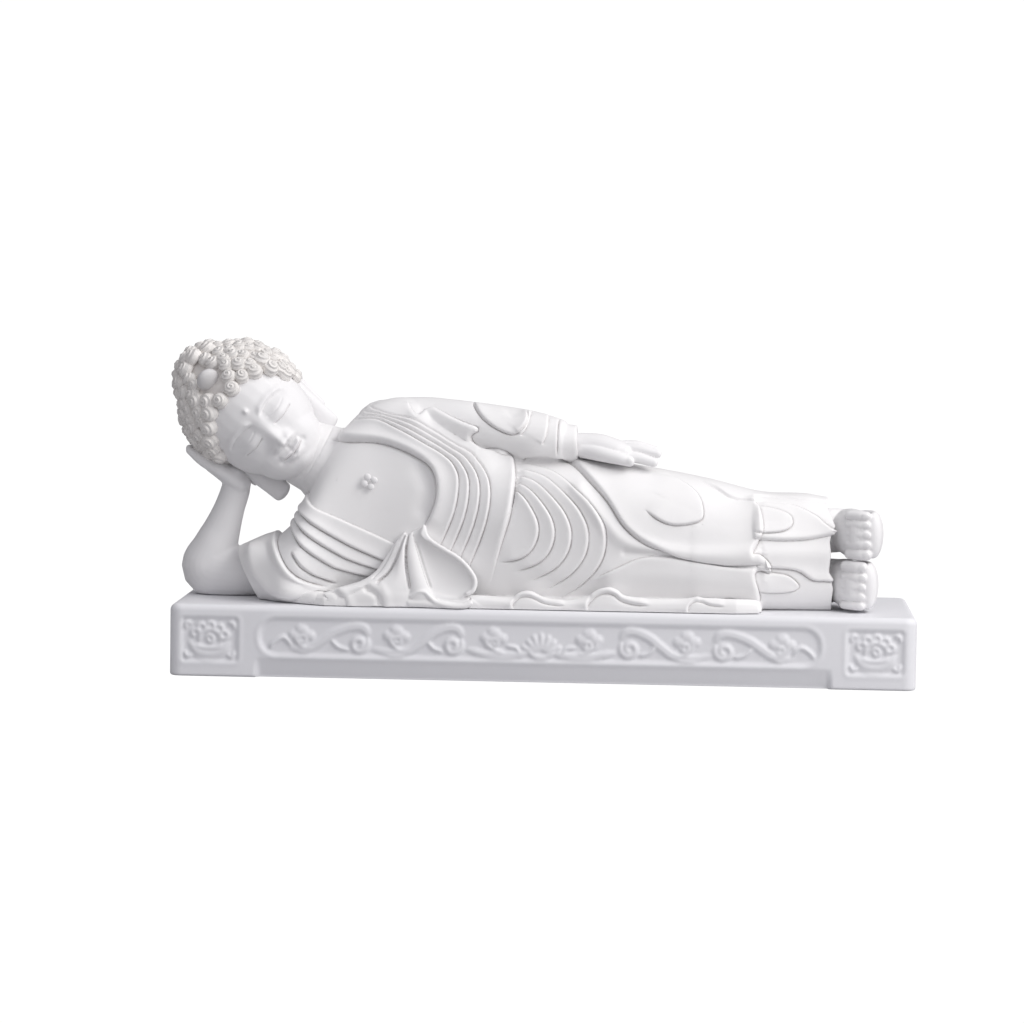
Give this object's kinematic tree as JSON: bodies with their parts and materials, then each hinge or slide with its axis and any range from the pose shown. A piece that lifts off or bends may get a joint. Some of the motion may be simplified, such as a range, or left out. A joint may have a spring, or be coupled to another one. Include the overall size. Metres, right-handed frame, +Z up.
{
  "type": "reclining buddha statue",
  "caption": "Long low porcelain figure lying on its side with the head on one hand, in folded robes, on a panelled plinth.",
  "frame": {"origin": "centre of the plinth's flat underside", "axes": "+X along the plinth from the head to the feet, -Y out of the front with the face, +Z up"},
  "size_m": [0.3163, 0.09, 0.1402],
  "materials": {
    "plinth_porcelain": "unglazed white porcelain, satin",
    "figure_porcelain": "unglazed white porcelain, satin"
  },
  "bodies": {
    "root": {"plinth": "plinth_porcelain", "reclining_figure": "figure_porcelain"}
  },
  "joints": []
}
